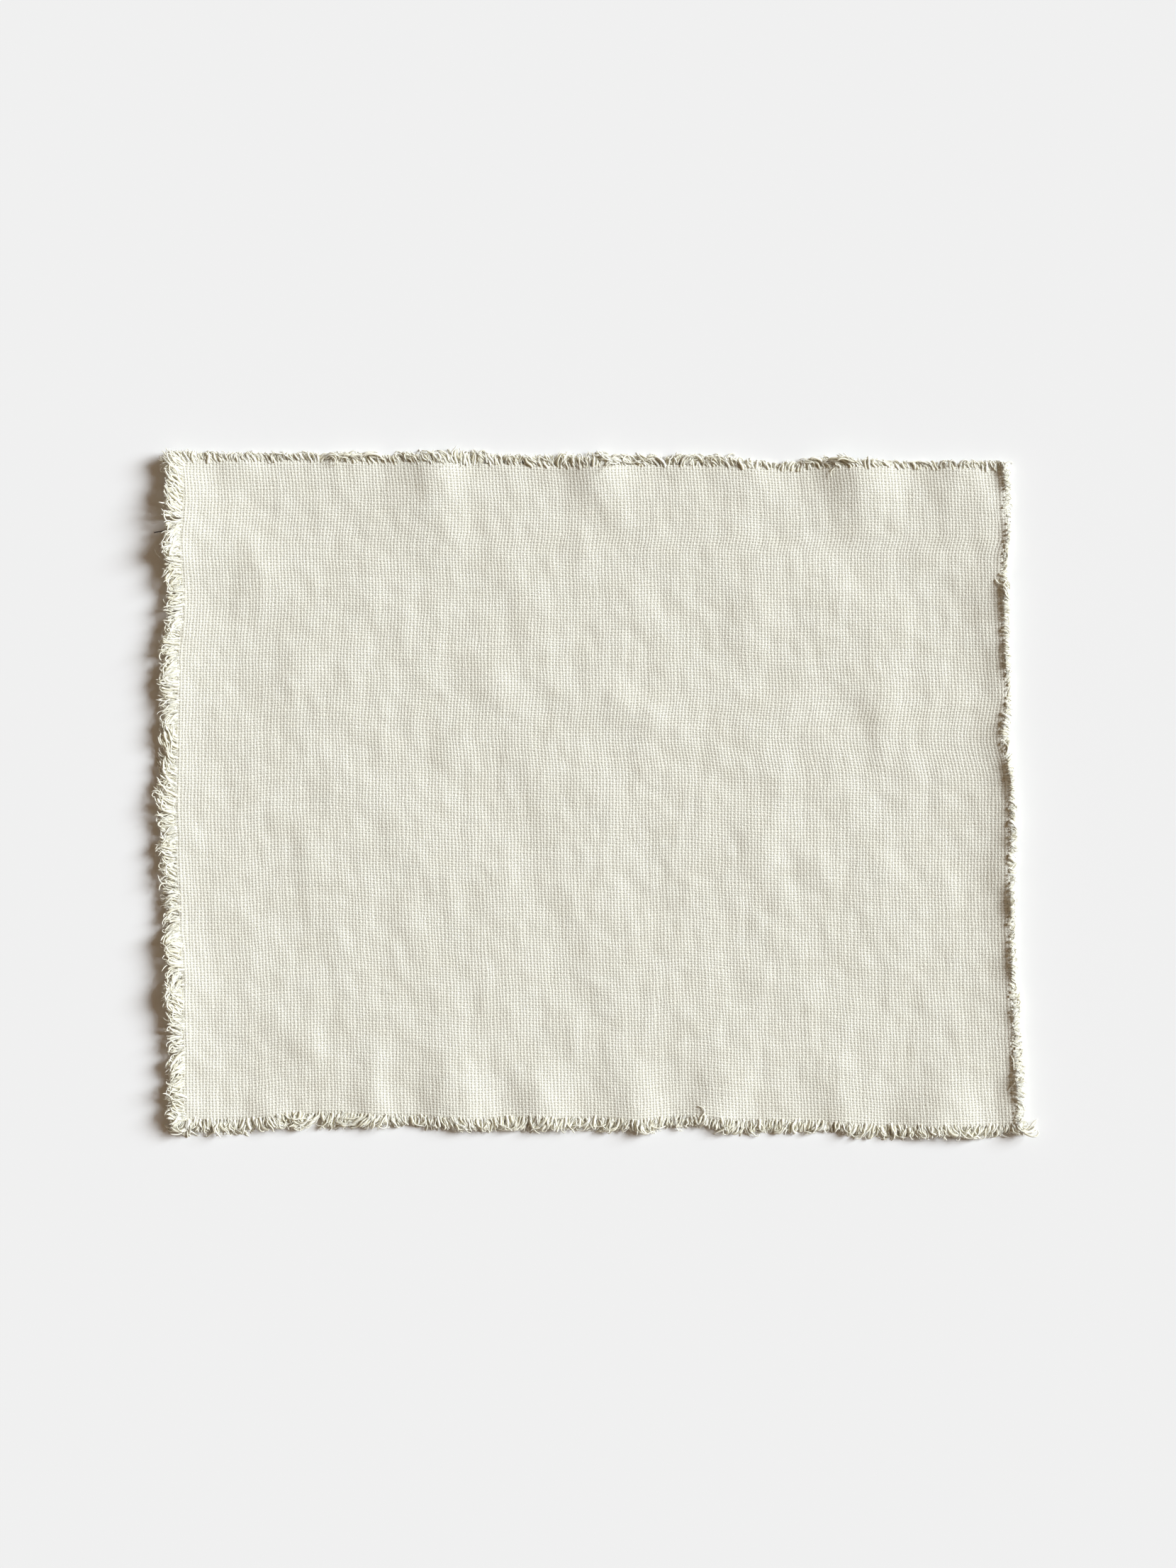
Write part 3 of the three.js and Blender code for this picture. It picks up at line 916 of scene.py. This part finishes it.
def weave_material():
    """Plain weave from thread counts: warp and weft yarns pass over and under each other in turn, with
    uneven yarn and shade painted darker into the gaps."""
    nodes = Nodes("plain_weave")
    cotton(nodes)
    s, t = nodes.uv("threads")
    sway = nodes.noise(nodes.vector(s, nodes.times(t, 0.5)), SWAY_SCALE, 1.0)
    swing = nodes.noise(nodes.vector(nodes.times(s, 0.5), t, 40.0), SWAY_SCALE, 1.0)
    s = nodes.sum(s, nodes.times(nodes.less(sway, 0.5), SWAY))
    t = nodes.sum(t, nodes.times(nodes.less(swing, 0.5), SWAY))
    warp, weft = nodes.math("FLOOR", s), nodes.math("FLOOR", t)
    across = nodes.less(nodes.less(s, warp), 0.5)
    down = nodes.less(nodes.less(t, weft), 0.5)

    stretched_t = nodes.times(t, FATNESS_STRETCH)
    stretched_s = nodes.times(s, FATNESS_STRETCH)
    warp_fat = nodes.noise(nodes.vector(nodes.times(warp, THREAD_STEP), stretched_t), 1.0)
    weft_fat = nodes.noise(nodes.vector(stretched_s, nodes.times(weft, THREAD_STEP), 9.0), 1.0)
    warp_top = yarn_height(nodes, WARP_YARN, t, warp, across, warp_fat)
    weft_top = yarn_height(nodes, WEFT_YARN, s, nodes.sum(weft, 1.0), down, weft_fat)
    height = nodes.math("SMOOTH_MAX", warp_top, weft_top, YARN_BLEND)
    fibres = nodes.noise(nodes.vector(s, t, 5.0), 4.0, 2.0, 0.5)
    height = nodes.sum(height, nodes.times(nodes.less(fibres, 0.5), FIBRE_RELIEF))

    # Painted shade: the ramp colours the low gaps between yarns darker and leaves the yarn tops their own
    # cream.
    painted_gap_shade = nodes.sum(nodes.math("DIVIDE", height, SHADE_RANGE), SHADE_SHIFT)
    colour = nodes.ramp(painted_gap_shade, [(0.0, (160, 156, 141)), (0.45, (205, 202, 188)), (1.0, (243, 241, 229))])
    cloud = nodes.noise(nodes.vector(s, t, 2.0), 0.11, 3.0)
    tint = nodes.ramp(cloud, [(0.3, (249, 248, 246)), (0.7, (255, 255, 255))])
    nodes.link(nodes.multiply(colour, tint), nodes.shader.inputs["Base Color"])
    nodes.bump(height, BUMP_SCALE * MM)
    return nodes.material


def yarn_material():
    """Loose cotton yarn ends that let some light through, each strand with its own tone."""
    nodes = Nodes("loose_yarn")
    cotton(nodes)
    _, tone = nodes.uv("strands")
    place = nodes.add("ShaderNodeTexCoord")
    fibres = nodes.noise(place.outputs["Object"], 2600.0, 2.0)
    tone = nodes.sum(nodes.times(tone, 0.5), nodes.times(fibres, 0.5))
    stops = [(0.0, (52, 44, 38)), (0.1, (224, 219, 196)), (0.5, (240, 236, 217)), (0.9, (250, 248, 235))]
    nodes.link(nodes.ramp(tone, stops), nodes.shader.inputs["Base Color"])
    nodes.shader.inputs["Subsurface Weight"].default_value = 0.6
    nodes.shader.inputs["Subsurface Radius"].default_value = (1.0, 1.0, 1.0)
    nodes.shader.inputs["Subsurface Scale"].default_value = MM
    nodes.bump(fibres, 0.12 * MM)
    return nodes.material


def floor_material():
    nodes = Nodes("pale_floor")
    nodes.shader.inputs["Base Color"].default_value = (*linear((237, 237, 237)), 1)
    nodes.shader.inputs["Roughness"].default_value = 1.0
    nodes.shader.inputs["Specular IOR Level"].default_value = 0.0
    return nodes.material


# The object

cloth = make_cloth()
cloth.data.materials.append(weave_material())
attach(cloth, "root")
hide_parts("cloth")

yarn = yarn_material()
for side, style in FRINGES.items():
    fringe = make_fringe(side, style)
    fringe.data.materials.append(yarn)
    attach(fringe, "root")
    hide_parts(style["node"])

# The floor

FLOOR_HALF = 4.0
corners = np.array([(-1, -1, 0), (1, -1, 0), (1, 1, 0), (-1, 1, 0)], float) * FLOOR_HALF
floor = mesh_object("floor", corners, [[0, 1, 2, 3]])
floor.data.materials.append(floor_material())

# The light: one large soft lamp low on the right, a little towards the back, and a dim warm room

KEY_ELEVATION = np.radians(30)
KEY_AZIMUTH = np.radians(18)
KEY_SIZE = np.radians(29)
KEY_STRENGTH = 5.92
KEY_COLOUR = (0.881, 0.945, 1.0)
ROOM_STRENGTH = 0.2
ROOM_COLOUR = (1.0, 0.70, 0.44)

key = bpy.data.lights.new("key", "SUN")
key.energy = KEY_STRENGTH
key.angle = KEY_SIZE
key.color = KEY_COLOUR
key_object = bpy.data.objects.new("key", key)
towards_key = Vector(
    (
        np.cos(KEY_ELEVATION) * np.cos(KEY_AZIMUTH),
        np.cos(KEY_ELEVATION) * np.sin(KEY_AZIMUTH),
        np.sin(KEY_ELEVATION),
    )
)
key_object.rotation_euler = towards_key.to_track_quat("Z", "Y").to_euler()
bpy.context.scene.collection.objects.link(key_object)

world = bpy.data.worlds.new("room")
world.use_nodes = True
background = world.node_tree.nodes["Background"]
background.inputs["Color"].default_value = (*ROOM_COLOUR, 1)
background.inputs["Strength"].default_value = ROOM_STRENGTH
bpy.context.scene.world = world

# The camera: straight above, framed as the photo is

lens = bpy.data.cameras.new("camera")
lens.lens = LENS
lens.sensor_width = SENSOR
camera = bpy.data.objects.new("camera", lens)
view_height = PHOTO_SIZE[1] * PIXEL
middle_x = (PHOTO_SIZE[0] / 2 - MAT_CENTRE_PIXEL[0]) * PIXEL
middle_y = (MAT_CENTRE_PIXEL[1] - PHOTO_SIZE[1] / 2) * PIXEL
camera.location = to_metres([middle_x, middle_y, view_height * LENS / SENSOR])
bpy.context.scene.collection.objects.link(camera)
bpy.context.scene.camera = camera
bpy.context.scene.view_settings.view_transform = "Standard"
